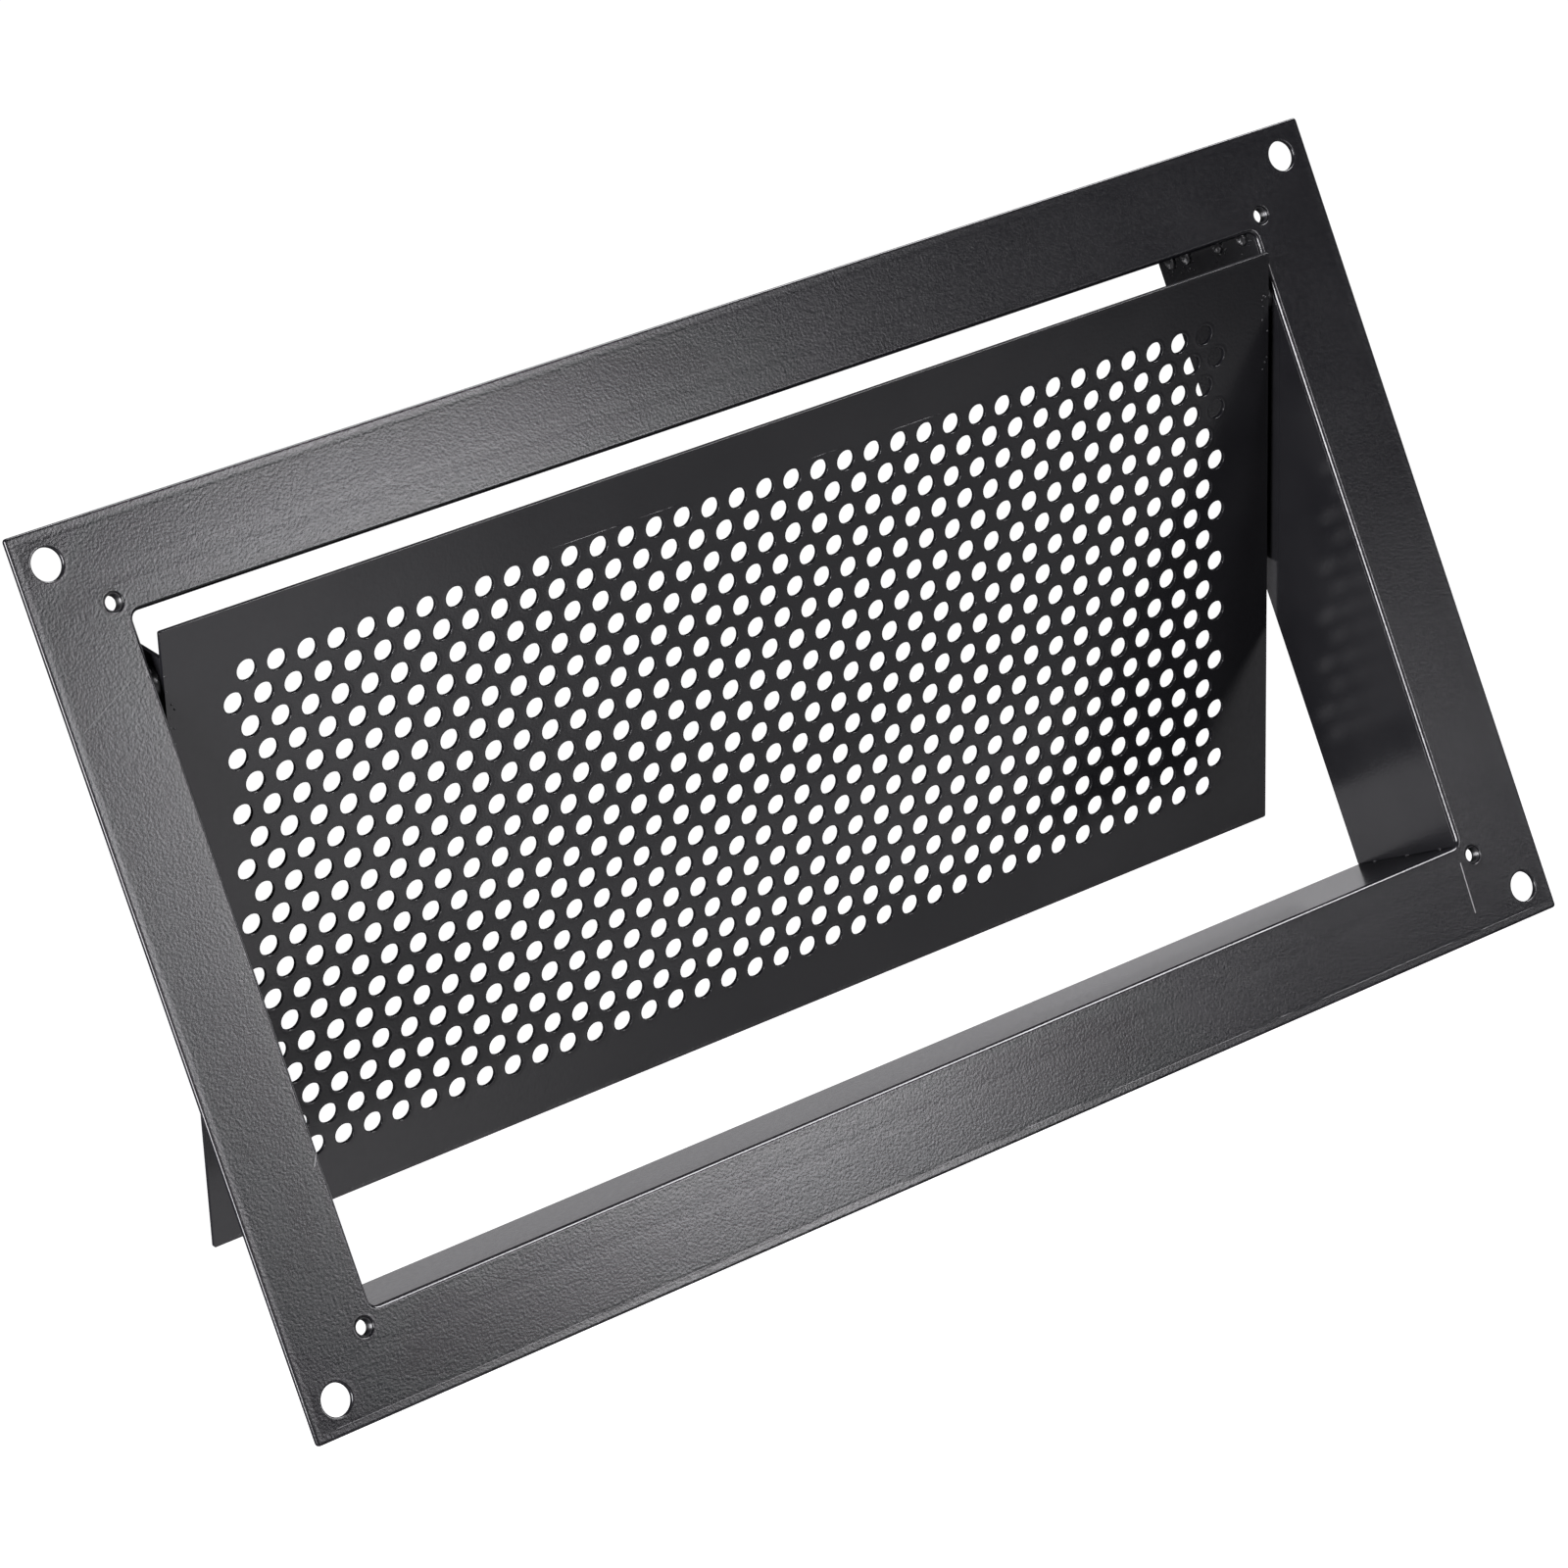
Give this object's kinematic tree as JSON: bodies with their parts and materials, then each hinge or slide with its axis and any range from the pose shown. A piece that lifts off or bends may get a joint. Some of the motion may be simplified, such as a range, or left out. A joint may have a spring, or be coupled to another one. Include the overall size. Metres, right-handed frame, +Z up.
{
  "type": "foundation flood vent",
  "caption": "Wall-mounted flood and air vent: flat face plate with a sheet-steel sleeve and a perforated flap that swings on rivets.",
  "frame": {"origin": "centre of the four wall-screw holes, on the back of the face plate, where it lies against the wall", "axes": "+X to the right along the width, +Z up, +Y into the wall along the sleeve; the face looks towards -Y"},
  "size_m": [0.4444, 0.0901, 0.2476],
  "materials": {
    "face_coat": "semi-gloss black powder coat with a fine orange-peel, on sheet steel",
    "sleeve_coat": "semi-gloss black powder coat, a little smoother inside the sleeve",
    "flap_coat": "semi-gloss black powder coat on perforated sheet steel",
    "weld_coat": "black powder coat over rough weld metal",
    "hardware_coat": "black coated steel rivets, washers and nuts"
  },
  "bodies": {
    "frame": {"face_plate": "face_coat", "sleeve_wall_left": "sleeve_coat", "sleeve_wall_right": "sleeve_coat", "sleeve_wall_top": "sleeve_coat", "sleeve_wall_bottom": "sleeve_coat", "sleeve_corner_tacks": "weld_coat", "sleeve_stitch_welds": "weld_coat", "cover_nuts": "hardware_coat", "pivot_rivet_left": "hardware_coat", "pivot_rivet_right": "hardware_coat", "spacer_washer_left": "hardware_coat", "spacer_washer_right": "hardware_coat", "tail_washer_left": "hardware_coat", "tail_washer_right": "hardware_coat"},
    "flap": {"flap_panel": "flap_coat", "flap_ear_left": "flap_coat", "flap_ear_right": "flap_coat", "flap_weld_beads": "weld_coat"}
  },
  "joints": [
    {"name": "flap_pivot", "type": "hinge", "parent": "frame", "child": "flap", "pos_m": [0, 0.00525, 0.07725], "axis": [1, 0, 0], "range_deg": [-118.5, 61.5]}
  ]
}
